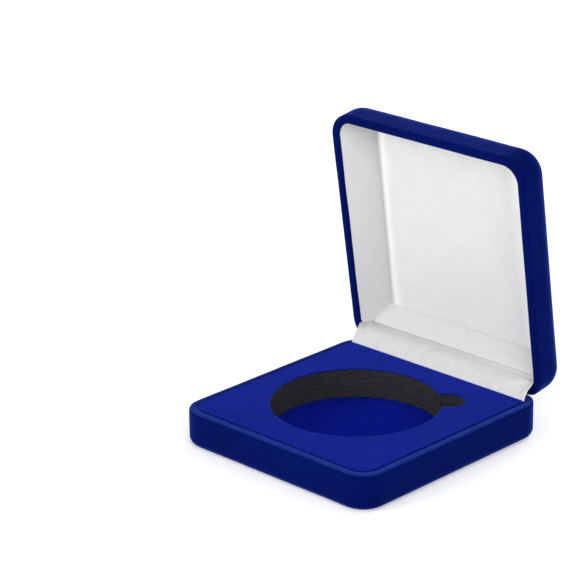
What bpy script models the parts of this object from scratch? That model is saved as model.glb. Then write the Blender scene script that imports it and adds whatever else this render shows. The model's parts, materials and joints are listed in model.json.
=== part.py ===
"""Hinged presentation case for one coin, standing open.

Row frame: X runs along the hinge, +Y points from the front of the case to the hinge, +Z is up,
and the origin is the middle of the base's underside. The lid is modelled where it closes and is
parented to an empty on the hinge axis, which turns it open.
"""

import math

import bmesh
import bpy
from mathutils import Matrix, Vector

MM = 0.001

# Driving dimensions
WIDTH = 96 * MM
DEPTH = 100 * MM
BASE_HEIGHT = 14.4 * MM
LID_HEIGHT = 15.9 * MM
CORNER = 10.2 * MM  # plan radius of the case's upright corners
BASE_ROUND = 3.3 * MM
LID_ROUND = 8.3 * MM
RIM_ROUND = 1.1 * MM
WALL = 3.6 * MM  # cover, shell and folded-in cover together
OPEN_ANGLE = math.radians(81.6)

# Layers
COVER = 0.6 * MM
GAP = 0.25 * MM  # glue line, or air between pieces that touch
SHELL_FLOOR = 0.7 * MM
HOLLOW_ROUND = 1.1 * MM  # least radius at the foot of a shell's walls inside
COVER_FOLD = 6 * MM  # how far the cover runs down inside the rim
CARD = 0.4 * MM
SEAM = 0.3 * MM  # between the two rims of the closed case
SHELL_INSET = COVER + GAP

# Insert
INSERT_FIT = 0.3 * MM
INSERT_RISE = 0.3 * MM  # insert's face above the rim
INSERT_REAR = 42.2 * MM
VELOUR = 0.5 * MM
COIN_RADIUS = 32.6 * MM
COIN_CENTRE = Vector((-2.1 * MM, -0.9 * MM, 0))
NOTCH_RADIUS = 6.7 * MM
NOTCH_REACH = 34.7 * MM  # from the coin's centre to the thumb notch's centre
NOTCH_BEARING = math.radians(44.7)

# Hinge
AXIS_INSET = 2.01 * MM  # from the back of the case
AXIS_RISE = 0.49 * MM  # above the base's rim
AXIS = Vector((0, DEPTH / 2 - AXIS_INSET, BASE_HEIGHT + AXIS_RISE))
PIN_RADIUS = 0.45 * MM
BORE_RADIUS = 0.7 * MM
KNUCKLE_RADIUS = 1.05 * MM
KNUCKLE_GAP = 0.3 * MM
HINGE_HALF = 24 * MM
LID_KNUCKLE_OUT = 13.9 * MM
LID_KNUCKLE_IN = 4 * MM
LEAF = 0.6 * MM
LEAF_FRONT = 46.35 * MM
LEAF_REACH = 8.9 * MM  # from the axis to the leaf's far edge
LEAF_NEAR = 0.89 * MM  # from the axis to the plain part of the leaf
TAB_NEAR = 0.18 * MM  # from the axis to the tab that carries a knuckle
TAB_FAR = 0.98 * MM
RIVET_X = 16 * MM
RIVET_REACH = 5.5 * MM
RIVET_RADIUS = 0.6 * MM
RIVET_HEAD = 1.3 * MM
RIVET_TAIL = 1.5 * MM  # beyond the leaf
RIVET_STEPS = 4
SPRING_TURNS = 6
SPRING_STEPS = 12  # points in each turn
SPRING_PITCH = 0.9 * MM
SPRING_WIRE = 0.17 * MM
SPRING_RADIUS = 1 * MM
SPRING_LEG = 3.2 * MM
SPRING_WINDOW = 4.8 * MM  # from the axis to the foot of the leaf's cut-out for a leg
STOP_CLEARANCE = 0.15 * MM
STOP_REACH = 2 * WALL  # of the stop's bevel, past the rim on every side

# Lid lining, as heights above the lid's rim and distances from the case's middle
PAD_DEPTH = 12.95 * MM
PAD = 0.5 * MM
LINING = 0.8 * MM
LINING_START = 0.5 * MM
CREASE_X_FRONT = 36.4 * MM
CREASE_X_REAR = 38 * MM
CREASE_Y_FRONT = 43 * MM
CREASE_Y_REAR = 36.6 * MM
GROOVE_X = 41.6 * MM
GROOVE_Y = 42.3 * MM
GROOVE_HEIGHT = 5.28 * MM
MITRE = 0.2 * MM  # each lining strip stops this short of the shared mitre
GUSSET = 0.4 * MM
GUSSET_HALF = 40.8 * MM
GUSSET_TUCK = 4 * MM

CORNER_STEPS = 8
ROUND_STEPS = 5
RIM_STEPS = 3
COIN_STEPS = 96
SMALL_STEPS = 24
FAR = 1  # metres, past everything
LID_RIM = BASE_HEIGHT + SEAM

# Finishes, as (colour, roughness, metallic)
BLUE_VELOUR = ((0.004, 0.012, 0.24, 1), 0.9, 0.0)
BLACK_FOAM = ((0.02, 0.02, 0.022, 1), 0.9, 0.0)
WHITE_SATIN = ((0.82, 0.82, 0.83, 1), 0.45, 0.0)
GREY_CARD = ((0.55, 0.54, 0.5, 1), 0.9, 0.0)
BLACK_PLASTIC = ((0.03, 0.03, 0.035, 1), 0.5, 0.0)
PLATED_STEEL = ((0.6, 0.6, 0.62, 1), 0.3, 1.0)

for old in list(bpy.data.objects):
    bpy.data.objects.remove(old, do_unlink=True)


def make_collection(name):
    made = bpy.data.collections.new(name)
    bpy.context.scene.collection.children.link(made)
    return made


parts = make_collection("coin_case")
cutters = make_collection("cutters")

lid_pivot = bpy.data.objects.new("lid_pivot", None)
lid_pivot.location = AXIS
lid_pivot.rotation_euler.x = -OPEN_ANGLE
parts.objects.link(lid_pivot)


def add_material(piece, colour, roughness, metallic):
    """Gives the piece its own Principled material."""
    made = bpy.data.materials.new(piece.name)
    made.use_nodes = True
    shader = made.node_tree.nodes["Principled BSDF"]
    shader.inputs["Base Color"].default_value = colour
    shader.inputs["Roughness"].default_value = roughness
    shader.inputs["Metallic"].default_value = metallic
    made.diffuse_color = colour
    piece.data.materials.append(made)


def add_object(name, bm, home=parts):
    """An object made from a bmesh, which is freed."""
    mesh = bpy.data.meshes.new(name)
    bmesh.ops.recalc_face_normals(bm, faces=bm.faces)
    bm.to_mesh(mesh)
    bm.free()
    mesh.shade_smooth()
    mesh.set_sharp_from_angle(angle=math.radians(30))
    made = bpy.data.objects.new(name, mesh)
    home.objects.link(made)
    return made


def add_cutter(name, bm):
    made = add_object(name, bm, cutters)
    made.hide_render = True
    made.display_type = "WIRE"
    return made


def seat_on_lid(piece):
    """Hangs a piece, built where it is in the closed case, on the lid's pivot."""
    piece.location = piece.location - AXIS
    piece.parent = lid_pivot


def boolean(piece, other, operation):
    made = piece.modifiers.new(other.name, "BOOLEAN")
    made.object = other
    made.operation = operation
    made.solver = "EXACT"


def cut(piece, *tools):
    for tool in tools:
        boolean(piece, tool, "DIFFERENCE")


def block(low, high):
    """A bmesh box between two corners."""
    bm = bmesh.new()
    low = Vector(low)
    high = Vector(high)
    place = Matrix.Translation((low + high) / 2) @ Matrix.Diagonal((*(high - low), 1))
    bmesh.ops.create_cube(bm, size=1, matrix=place)
    return bm


def rounded_tub(half_x, half_y, floor, rim, corner, edge):
    """A block with rounded uprights and a rounded bottom edge; its top face stays flat."""
    bm = block((-half_x, -half_y, floor), (half_x, half_y, rim))
    uprights = [e for e in bm.edges if abs(e.verts[0].co.z - e.verts[1].co.z) > GAP]
    bmesh.ops.bevel(
        bm, geom=uprights, offset=corner, segments=CORNER_STEPS, profile=0.5, affect="EDGES"
    )
    if edge:
        bottom = [e for e in bm.edges if max(v.co.z for v in e.verts) < floor + GAP / 10]
        bmesh.ops.bevel(
            bm, geom=bottom, offset=edge, segments=ROUND_STEPS, profile=0.5, affect="EDGES"
        )
    return bm


def cylinder(centre, along, length, radius, steps):
    """A closed bmesh cylinder about a centre, pointing along X, Y or Z."""
    turn = {"X": Matrix.Rotation(math.pi / 2, 4, "Y"), "Y": Matrix.Rotation(math.pi / 2, 4, "X")}
    bm = bmesh.new()
    bmesh.ops.create_cone(
        bm,
        cap_ends=True,
        segments=steps,
        radius1=radius,
        radius2=radius,
        depth=length,
        matrix=Matrix.Translation(centre) @ turn.get(along, Matrix.Identity(4)),
    )
    return bm


def flip_to_lid(bm):
    """Turns a tub that stands on the ground over onto the closed case's seam."""
    turn = Matrix.Translation((0, 0, LID_RIM + LID_HEIGHT)) @ Matrix.Rotation(math.pi, 4, "X")
    bmesh.ops.transform(bm, matrix=turn, verts=bm.verts)
    return bm


def cover_surface(height, edge):
    """The cover's outer surface: floor, sides, rolled rim and the fold down inside the rim."""
    bm = rounded_tub(WIDTH / 2, DEPTH / 2, 0, height, CORNER, edge)
    top = next(f for f in bm.faces if f.normal.z > 0.9 and f.calc_center_median().z > height - GAP)
    outer_rim = list(top.edges)
    bmesh.ops.inset_region(bm, faces=[top], thickness=WALL, use_even_offset=True)
    inner_rim = list(top.edges)
    grown = bmesh.ops.extrude_face_region(bm, geom=[top])["geom"]
    moved = [v for v in grown if isinstance(v, bmesh.types.BMVert)]
    bmesh.ops.translate(bm, verts=moved, vec=(0, 0, -COVER_FOLD))
    bottom = [f for f in grown if isinstance(f, bmesh.types.BMFace)]
    bmesh.ops.delete(bm, geom=bottom, context="FACES_ONLY")
    if top.is_valid:
        bmesh.ops.delete(bm, geom=[top], context="FACES_ONLY")
    rims = [e for e in outer_rim + inner_rim if e.is_valid]
    bmesh.ops.bevel(
        bm, geom=rims, offset=RIM_ROUND, segments=RIM_STEPS, profile=0.5, affect="EDGES"
    )
    return bm


def make_cover(name, height, edge, on_lid):
    bm = cover_surface(height, edge)
    if on_lid:
        flip_to_lid(bm)
    made = add_object(name, bm)
    skin = made.modifiers.new("skin", "SOLIDIFY")
    skin.thickness = COVER
    skin.offset = -1
    skin.use_even_offset = True
    add_material(made, *BLUE_VELOUR)
    return made


def make_shell(name, height, edge, on_lid):
    """The moulded plastic tub under a cover."""
    outer = rounded_tub(
        WIDTH / 2 - SHELL_INSET,
        DEPTH / 2 - SHELL_INSET,
        SHELL_INSET,
        height - SHELL_INSET,
        CORNER - SHELL_INSET,
        edge - SHELL_INSET,
    )
    hollow = rounded_tub(
        WIDTH / 2 - WALL + SHELL_INSET,
        DEPTH / 2 - WALL + SHELL_INSET,
        SHELL_INSET + SHELL_FLOOR,
        height + WALL,
        CORNER - WALL + SHELL_INSET,
        max(edge - WALL, HOLLOW_ROUND),
    )
    if on_lid:
        flip_to_lid(outer)
        flip_to_lid(hollow)
    made = add_object(name, outer)
    tool = add_cutter(name + "_hollow", hollow)
    cut(made, tool)
    add_material(made, *BLACK_PLASTIC)
    return made, tool


def stop_wedge(name, side):
    """Cuts a rear rim back to the plane where base and lid meet when the case is open."""
    half = OPEN_ANGLE / 2
    outline = [
        Vector((0, 0, 0)),
        Vector((0, math.cos(half), -side * math.sin(half))) * STOP_REACH,
        Vector((0, STOP_REACH, side * STOP_REACH)),
        Vector((0, 0, side * STOP_REACH)),
    ]
    away = Vector((0, -math.sin(half), -side * math.cos(half))) * STOP_CLEARANCE
    bm = bmesh.new()
    for x in (-WIDTH, WIDTH):
        for point in outline:
            bm.verts.new(point + away + AXIS + Vector((x, 0, 0)))
    bmesh.ops.convex_hull(bm, input=bm.verts)
    return add_cutter(name, bm)


def knuckle_ranges(on_lid):
    """The stretches of X that one leaf's two knuckles fill."""
    if on_lid:
        stretch = (LID_KNUCKLE_IN, LID_KNUCKLE_OUT)
    else:
        stretch = (LID_KNUCKLE_OUT + KNUCKLE_GAP, HINGE_HALF)
    return [stretch, (-stretch[1], -stretch[0])]


def leaf_block(x_low, x_high, y_low, y_high, near, far, side):
    """A box on one leaf, whose height is measured from the hinge axis, down on the base."""
    heights = sorted((AXIS.z + side * near, AXIS.z + side * far))
    return block((x_low, y_low, heights[0]), (x_high, y_high, heights[1]))


def make_leaf(name, side, on_lid):
    """A pressed steel leaf: a plate, two rolled knuckles and two rivet holes."""
    back = LEAF_FRONT + LEAF
    made = add_object(
        name,
        leaf_block(-HINGE_HALF, HINGE_HALF, LEAF_FRONT, back, LEAF_NEAR, LEAF_REACH, side),
    )
    added = []
    for x_low, x_high in knuckle_ranges(on_lid):
        tab_back = AXIS.y - BORE_RADIUS
        tab = leaf_block(x_low, x_high, LEAF_FRONT, tab_back, TAB_NEAR, TAB_FAR, side)
        added.append(add_cutter(name + "_tab", tab))
        centre = Vector(((x_low + x_high) / 2, AXIS.y, AXIS.z))
        roll = cylinder(centre, "X", x_high - x_low, KNUCKLE_RADIUS, SMALL_STEPS)
        added.append(add_cutter(name + "_knuckle", roll))
    for tool in added:
        boolean(made, tool, "UNION")
    removed = [add_cutter(name + "_bore", cylinder(AXIS, "X", WIDTH, BORE_RADIUS, SMALL_STEPS))]
    for x in (-RIVET_X, RIVET_X):
        hole = cylinder(rivet_centre(x, side), "Y", WALL, RIVET_RADIUS + GAP, SMALL_STEPS)
        removed.append(add_cutter(name + "_rivet_hole", hole))
    window = leaf_block(
        -LID_KNUCKLE_IN, LID_KNUCKLE_IN, LEAF_FRONT - LEAF, back + LEAF, 0, SPRING_WINDOW, side
    )
    removed.append(add_cutter(name + "_spring_window", window))
    cut(made, *removed)
    add_material(made, *PLATED_STEEL)
    return made, added + removed


def rivet_centre(x, side):
    return Vector((x, LEAF_FRONT, AXIS.z + side * RIVET_REACH))


def make_rivet(name, x, side):
    """A domed rivet, turned about Y, whose shank goes through the leaf into the shell."""
    head_face = -GAP
    dome = LEAF
    tail = LEAF + RIVET_TAIL
    profile = [Vector((0, head_face - dome, 0))]
    for k in range(1, RIVET_STEPS + 1):
        angle = math.pi / 2 * k / RIVET_STEPS
        profile.append(
            Vector((RIVET_HEAD * math.sin(angle), head_face - dome * math.cos(angle), 0))
        )
    profile += [
        Vector((RIVET_RADIUS, head_face, 0)),
        Vector((RIVET_RADIUS, tail, 0)),
        Vector((0, tail, 0)),
    ]
    bm = bmesh.new()
    chain = [bm.verts.new(p) for p in profile]
    edges = [bm.edges.new(pair) for pair in zip(chain, chain[1:])]
    bmesh.ops.spin(
        bm,
        geom=chain + edges,
        cent=(0, 0, 0),
        axis=(0, 1, 0),
        angle=2 * math.pi,
        steps=SMALL_STEPS,
        use_merge=True,
    )
    bmesh.ops.remove_doubles(bm, verts=bm.verts, dist=GAP / 100)
    made = add_object(name, bm)
    made.location = rivet_centre(x, side)
    add_material(made, *PLATED_STEEL)
    return made


def make_pin():
    made = add_object(
        "hinge_pin", cylinder(AXIS, "X", 2 * HINGE_HALF + GAP, PIN_RADIUS, SMALL_STEPS)
    )
    add_material(made, *PLATED_STEEL)


def make_spring():
    """A torsion spring round the pin, one leg down the base leaf and one along the lid leaf."""
    coil_half = SPRING_TURNS * SPRING_PITCH / 2
    turned = 2 * math.pi * SPRING_TURNS + OPEN_ANGLE
    count = SPRING_STEPS * SPRING_TURNS
    points = []
    for k in range(count + 1):
        angle = math.pi - turned * k / count
        spoke = Vector((0, math.cos(angle), math.sin(angle)))
        points.append(spoke * SPRING_RADIUS + Vector((coil_half * (2 * k / count - 1), 0, 0)))
    last_way = Vector((0, math.sin(OPEN_ANGLE), math.cos(OPEN_ANGLE)))
    points.insert(0, points[0] + Vector((0, 0, -SPRING_LEG)))
    points.append(points[-1] + last_way * SPRING_LEG)
    wire = bpy.data.curves.new("hinge_spring", "CURVE")
    wire.dimensions = "3D"
    wire.bevel_depth = SPRING_WIRE
    wire.bevel_resolution = 1
    wire.use_fill_caps = True
    line = wire.splines.new("POLY")
    line.points.add(len(points) - 1)
    for slot, point in zip(line.points, points):
        slot.co = (*point, 1)
    made = bpy.data.objects.new("hinge_spring", wire)
    made.location = AXIS
    parts.objects.link(made)
    add_material(made, *PLATED_STEEL)


def insert_outline_block(z_low, z_high):
    """A slab that fills the base's well, before its rear edge is trimmed."""
    inset = WALL + INSERT_FIT
    return rounded_tub(
        WIDTH / 2 - inset, DEPTH / 2 - inset, z_low, z_high, CORNER - inset, 0
    )


def make_insert():
    """Floor card, foam block and velour face; foam and face are cut for the coin and thumb."""
    trim = add_cutter("insert_rear_trim", block((-FAR, INSERT_REAR, -FAR), (FAR, FAR, FAR)))
    height = 3 * BASE_HEIGHT
    coin_hole = add_cutter(
        "coin_hole", cylinder(COIN_CENTRE, "Z", height, COIN_RADIUS, COIN_STEPS)
    )
    reach = Vector((math.cos(NOTCH_BEARING), math.sin(NOTCH_BEARING), 0)) * NOTCH_REACH
    thumb_hole = add_cutter(
        "thumb_hole",
        cylinder(COIN_CENTRE + reach, "Z", height, NOTCH_RADIUS, COIN_STEPS // 2),
    )
    card_low = SHELL_INSET + SHELL_FLOOR + GAP
    card_high = card_low + CARD
    face_high = BASE_HEIGHT + INSERT_RISE
    face_low = face_high - VELOUR
    floor = add_object("recess_floor", insert_outline_block(card_low, card_high))
    cut(floor, trim)
    add_material(floor, *BLUE_VELOUR)
    foam = add_object("insert_foam", insert_outline_block(card_high + GAP, face_low - GAP))
    cut(foam, trim, coin_hole, thumb_hole)
    add_material(foam, *BLACK_FOAM)
    face = add_object("insert_velour_top", insert_outline_block(face_low, face_high))
    cut(face, trim, coin_hole, thumb_hole)
    add_material(face, *BLUE_VELOUR)


def make_pad():
    """The lid's satin pad and the card behind it."""
    bm = bmesh.new()
    high = LID_RIM + PAD_DEPTH + PAD
    for x_sign in (-1, 1):
        for z in (LID_RIM + PAD_DEPTH, high):
            front_x = CREASE_X_FRONT - INSERT_FIT
            rear_x = CREASE_X_REAR - INSERT_FIT
            bm.verts.new((x_sign * front_x, -CREASE_Y_FRONT + INSERT_FIT, z))
            bm.verts.new((x_sign * rear_x, CREASE_Y_REAR - INSERT_FIT, z))
    bmesh.ops.convex_hull(bm, input=bm.verts)
    pad = add_object("lid_pad", bm)
    seat_on_lid(pad)
    add_material(pad, *WHITE_SATIN)
    card_low = high + GAP
    card = add_object(
        "lid_backing_card",
        block(
            (-CREASE_X_REAR, -CREASE_Y_FRONT, card_low),
            (CREASE_X_REAR, CREASE_Y_REAR, card_low + CARD),
        ),
    )
    seat_on_lid(card)
    add_material(card, *GREY_CARD)


def make_lining(name, corners, outward, trim):
    """A satin-covered card strip: the corners of its face, thickened away from the hollow."""
    bm = bmesh.new()
    for corner in corners:
        bm.verts.new(corner)
        bm.verts.new(Vector(corner) + outward * LINING)
    bmesh.ops.convex_hull(bm, input=bm.verts)
    made = add_object(name, bm)
    seat_on_lid(made)
    if trim:
        boolean(made, trim, "INTERSECT")
    add_material(made, *WHITE_SATIN)


def make_linings():
    """Left, right, front and rear strips between the lid's rim and its pad."""
    start = LID_RIM + LINING_START
    crease = LID_RIM + PAD_DEPTH
    groove = LID_RIM + GROOVE_HEIGHT
    side_x = WIDTH / 2 - WALL - INSERT_FIT
    side_y = DEPTH / 2 - WALL - INSERT_FIT
    well = rounded_tub(side_x, side_y, LID_RIM - WALL, LID_RIM + LID_HEIGHT, CORNER - WALL, 0)
    trim = add_cutter("lid_well", well)
    seat_on_lid(trim)
    rear_foot = GROOVE_Y + GROOVE_HEIGHT / 2 - INSERT_FIT
    slope = Vector((side_x - CREASE_X_REAR, 0, PAD_DEPTH)).normalized()
    for name, sign in (("lid_lining_left", -1), ("lid_lining_right", 1)):
        corners = [
            (sign * side_x, -side_y + MITRE, start),
            (sign * side_x, rear_foot, start),
            (sign * GROOVE_X, GROOVE_Y - MITRE, groove),
            (sign * CREASE_X_REAR, CREASE_Y_REAR - MITRE, crease),
            (sign * CREASE_X_FRONT, -CREASE_Y_FRONT + MITRE, crease),
        ]
        make_lining(name, corners, Vector((sign * slope.z, 0, slope.x)), trim)
    slope = Vector((0, side_y - CREASE_Y_FRONT, PAD_DEPTH)).normalized()
    corners = [
        (side_x - 2 * LINING, -side_y, start),
        (CREASE_X_FRONT - LINING, -CREASE_Y_FRONT, crease),
        (-CREASE_X_FRONT + LINING, -CREASE_Y_FRONT, crease),
        (-side_x + 2 * LINING, -side_y, start),
    ]
    make_lining("lid_lining_front", corners, Vector((0, -slope.z, slope.y)), trim)
    slope = Vector((0, GROOVE_Y - CREASE_Y_REAR, PAD_DEPTH - GROOVE_HEIGHT)).normalized()
    corners = [
        (GROOVE_X - LINING, GROOVE_Y, groove),
        (CREASE_X_REAR - LINING, CREASE_Y_REAR, crease),
        (-CREASE_X_REAR + LINING, CREASE_Y_REAR, crease),
        (-GROOVE_X + LINING, GROOVE_Y, groove),
    ]
    make_lining("lid_lining_rear", corners, Vector((0, slope.z, slope.y)), None)


def opened(point):
    """Where a point of the closed lid is when the lid stands open."""
    return Matrix.Rotation(-OPEN_ANGLE, 3, "X") @ (Vector(point) - AXIS) + AXIS


def make_gusset():
    """The satin strip that hides the hinge, from behind the insert up to the lid's groove."""
    thick_line = INSERT_REAR + INSERT_FIT + GUSSET / 2
    foot = BASE_HEIGHT + INSERT_RISE
    top = opened((0, GROOVE_Y + INSERT_FIT, LID_RIM + GROOVE_HEIGHT - 2 * INSERT_FIT))
    profile = [
        Vector((0, thick_line, foot - GUSSET_TUCK)),
        Vector((0, thick_line, foot)),
        top,
    ]
    bm = bmesh.new()
    rows = []
    for x in (-GUSSET_HALF, GUSSET_HALF):
        rows.append([bm.verts.new(p + Vector((x, 0, 0))) for p in profile])
    for k in range(len(profile) - 1):
        bm.faces.new((rows[0][k], rows[1][k], rows[1][k + 1], rows[0][k + 1]))
    made = add_object("hinge_gusset", bm)
    cloth = made.modifiers.new("cloth", "SOLIDIFY")
    cloth.thickness = GUSSET
    cloth.offset = 0
    cloth.use_even_offset = True
    add_material(made, *WHITE_SATIN)


base_wedge = stop_wedge("base_stop_wedge", 1)
lid_wedge = stop_wedge("lid_stop_wedge", -1)
seat_on_lid(lid_wedge)

hinge_room = HINGE_HALF + 2 * GAP
room_back = DEPTH / 2 - COVER - GAP / 2
room_front = DEPTH / 2 - 3 * WALL
base_room = add_cutter(
    "base_hinge_room",
    block((-hinge_room, room_front, AXIS.z - LEAF_REACH - GAP), (hinge_room, room_back, FAR)),
)
lid_room = add_cutter(
    "lid_hinge_room",
    block((-hinge_room, room_front, -FAR), (hinge_room, room_back, AXIS.z + LEAF_REACH + GAP)),
)
seat_on_lid(lid_room)
knuckle_room = add_cutter(
    "lid_knuckle_room",
    block(
        (-hinge_room, room_front, -FAR),
        (hinge_room, room_back, AXIS.z + KNUCKLE_RADIUS + GAP),
    ),
)
seat_on_lid(knuckle_room)

base_cover = make_cover("base_velour_cover", BASE_HEIGHT, BASE_ROUND, False)
cut(base_cover, base_wedge, base_room)
base_shell, _ = make_shell("base_shell", BASE_HEIGHT, BASE_ROUND, False)
make_insert()
make_leaf("base_hinge_leaf", -1, False)
make_pin()
make_spring()
make_gusset()

lid_cover = make_cover("lid_velour_cover", LID_HEIGHT, LID_ROUND, True)
cut(lid_cover, lid_wedge, lid_room)
seat_on_lid(lid_cover)
lid_shell, lid_hollow = make_shell("lid_shell", LID_HEIGHT, LID_ROUND, True)
cut(lid_shell, lid_wedge, knuckle_room)
seat_on_lid(lid_shell)
seat_on_lid(lid_hollow)
make_pad()
make_linings()
lid_leaf, lid_leaf_tools = make_leaf("lid_hinge_leaf", 1, True)
for tool in [lid_leaf, *lid_leaf_tools]:
    seat_on_lid(tool)

for side, shell, word in ((-1, base_shell, "base"), (1, lid_shell, "lid")):
    for x, hand in ((-RIVET_X, "left"), (RIVET_X, "right")):
        rivet = make_rivet(f"{word}_rivet_{hand}", x, side)
        hole = add_cutter(
            f"{word}_shell_rivet_hole_{hand}",
            cylinder(rivet_centre(x, side), "Y", 2 * WALL - GAP, RIVET_RADIUS + GAP, SMALL_STEPS),
        )
        cut(shell, hole)
        if side > 0:
            seat_on_lid(rivet)
            seat_on_lid(hole)
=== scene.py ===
"""Looks of the hinged coin case: covers, foam insert, satin lining, hinge, light and camera."""

import json
import math

import bmesh
import bpy
import numpy as np
from mathutils import Matrix, Vector, noise


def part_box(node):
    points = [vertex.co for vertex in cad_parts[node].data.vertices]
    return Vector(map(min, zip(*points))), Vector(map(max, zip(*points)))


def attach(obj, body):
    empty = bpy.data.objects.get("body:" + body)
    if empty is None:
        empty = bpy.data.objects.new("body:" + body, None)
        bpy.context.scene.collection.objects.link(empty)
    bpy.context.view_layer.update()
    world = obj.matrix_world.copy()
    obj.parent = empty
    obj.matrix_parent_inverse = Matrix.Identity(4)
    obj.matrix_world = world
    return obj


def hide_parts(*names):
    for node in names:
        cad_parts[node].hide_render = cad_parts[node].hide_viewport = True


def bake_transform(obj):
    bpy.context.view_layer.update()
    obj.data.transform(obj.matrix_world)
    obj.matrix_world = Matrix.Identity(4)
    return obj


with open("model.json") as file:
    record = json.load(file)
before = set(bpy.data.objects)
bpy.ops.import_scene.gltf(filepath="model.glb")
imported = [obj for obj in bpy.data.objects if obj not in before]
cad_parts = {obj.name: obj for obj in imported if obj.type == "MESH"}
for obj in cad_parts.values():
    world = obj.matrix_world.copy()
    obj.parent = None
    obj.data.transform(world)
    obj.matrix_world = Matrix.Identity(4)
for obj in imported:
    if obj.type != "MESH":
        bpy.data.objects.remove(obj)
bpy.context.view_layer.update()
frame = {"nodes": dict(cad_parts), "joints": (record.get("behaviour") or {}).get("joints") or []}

MM = 0.001

# Sizes read from the frame
base_low, base_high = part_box("base_velour_cover")
HALF_X = base_high.x
HALF_Y = base_high.y
BASE_HEIGHT = base_high.z
face_low, face_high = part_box("insert_velour_top")
foam_low, foam_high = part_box("insert_foam")
floor_low, floor_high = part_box("recess_floor")
HINGE = frame["joints"][0]
AXIS = Vector(HINGE["pos_m"])
OPEN_ANGLE = math.radians(HINGE["range_deg"][1])
LID_OPEN = (
    Matrix.Translation(AXIS) @ Matrix.Rotation(-OPEN_ANGLE, 4, "X") @ Matrix.Translation(-AXIS)
)
WELL_X = face_high.x
WELL_FRONT = face_low.y
WELL_REAR = face_high.y

# Sizes shared with the CAD that a node's box doesn't give
LID_HEIGHT = 15.9 * MM
SEAM = 0.3 * MM
LID_RIM = BASE_HEIGHT + SEAM
CORNER = 10.2 * MM
WALL = 3.6 * MM
COVER = 0.6 * MM
BASE_ROUND = 3.3 * MM
LID_ROUND = 8.3 * MM
RIM_ROUND = 1.1 * MM
COVER_FOLD = 6 * MM
COIN_CENTRE = Vector((-2.1 * MM, -0.9 * MM, 0))
COIN_RADIUS = 32.6 * MM
NOTCH_RADIUS = 6.7 * MM
NOTCH_REACH = 34.7 * MM
NOTCH_BEARING = math.radians(44.7)
PAD_DEPTH = 12.95 * MM
CREASE_X_FRONT = 36.4 * MM
CREASE_X_REAR = 38 * MM
CREASE_Y_FRONT = -43 * MM
CREASE_Y_REAR = 36.6 * MM
GROOVE_X = 41.6 * MM
GROOVE_Y = 42.3 * MM
GROOVE_HEIGHT = 5.28 * MM

# Sizes of the soft pieces that the CAD doesn't have
STOP_GAP = 0.2 * MM  # from each bevelled rim to the plane where the two would meet
STOP_RAMP = 0.8 * MM  # how far before the hinge's axis the rim starts to come down
HINGE_ROOM = Vector((24.5, 39.2, 49.275)) * MM  # half its length along X, its front and its back
HINGE_ROOM_DEPTH = 9.3 * MM
PAD_PROUD = 0.1 * MM
PAD_CROWN = 0.85 * MM
PAD_FALL = 0.75 * MM
PAD_EDGE = 8 * MM  # width of the pad's rounded shoulder
STRIP_START = 0.9 * MM  # the lining strips' outer edge, above the lid's rim
STRIP_TUCK = 0.7 * MM  # how far their inner edge goes in behind the pad
STRIP_STEPS = 26
MITRE = 52  # degrees round the lid's front corners where the side and front strips meet
EAR_Y = 41.3 * MM  # the gusset's upper corners, on the lid's rim
FOOT_X = 44.2 * MM  # half the length of the gusset's foot
TUCK_X = 42.8 * MM  # beyond which the gusset's tucked edge turns inward, not down
TUCK_ROWS = 6
TUCK_STEP = 0.6  # mm of tucked cloth in each of those rows
GUSSET_ROWS = 34
GUSSET_OUT = np.array((0, -0.62, 0.78))  # the way that the open gusset faces
HOLLOW = 0.72  # share of the gusset's width, from its foot, that bellies out
HELD_END = 16  # columns at each end of the gusset that the simulation holds


# Mesh tools

def wobble(point, size, seed=0.0):
    """Smooth noise from about -1 to 1 with bumps of the given size in metres."""
    return noise.noise(Vector(point) / size + Vector((seed, 1.7 * seed, -seed)))


def lattice(name, rows, wrap_columns=False, wrap_rows=False, cloth=None):
    """A mesh of quads over a grid of points; cloth gives each point's place on the flat cloth."""
    rows = np.asarray(rows, float)
    n_rows, n_columns = rows.shape[:2]
    faces = []
    corners = []
    for i in range(n_rows if wrap_rows else n_rows - 1):
        for j in range(n_columns if wrap_columns else n_columns - 1):
            k = (i + 1) % n_rows
            m = (j + 1) % n_columns
            near = i * n_columns
            far = k * n_columns
            faces.append((near + j, near + m, far + m, far + j))
            corners.append(((i, j), (i, j + 1), (i + 1, j + 1), (i + 1, j)))
    mesh = bpy.data.meshes.new(name)
    mesh.from_pydata(rows.reshape(-1, 3).tolist(), [], faces)
    if cloth is not None:
        layer = mesh.uv_layers.new(name="cloth")
        flat = [cloth[i][j] for quad in corners for i, j in quad]
        layer.data.foreach_set("uv", np.asarray(flat, np.float32).ravel())
    made = bpy.data.objects.new(name, mesh)
    bpy.context.scene.collection.objects.link(made)
    return made


def finish_mesh(piece, cap=False, outward=None, cap_below=1.0):
    """Closes open ends under the height cap_below with fans if asked, turns the faces outward and
    shades the piece smooth. On an open sheet, most of its faces turn to the side outward."""
    bm = bmesh.new()
    bm.from_mesh(piece.data)
    if cap:
        ends = [e for e in bm.edges if e.is_boundary and e.verts[0].co.z < cap_below]
        made = bmesh.ops.holes_fill(bm, edges=ends, sides=0)["faces"]
        bmesh.ops.poke(bm, faces=made)
    bmesh.ops.recalc_face_normals(bm, faces=bm.faces)
    if outward is not None:
        turned = sum((f.normal * f.calc_area() for f in bm.faces), Vector())
        if turned.dot(Vector(outward)) < 0:
            bmesh.ops.reverse_faces(bm, faces=bm.faces)
    bm.to_mesh(piece.data)
    bm.free()
    piece.data.shade_smooth()


def bake(piece):
    """Applies the piece's modifiers."""
    graph = bpy.context.evaluated_depsgraph_get()
    piece.data = bpy.data.meshes.new_from_object(
        piece.evaluated_get(graph), preserve_all_data_layers=True, depsgraph=graph
    )
    piece.modifiers.clear()


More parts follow.
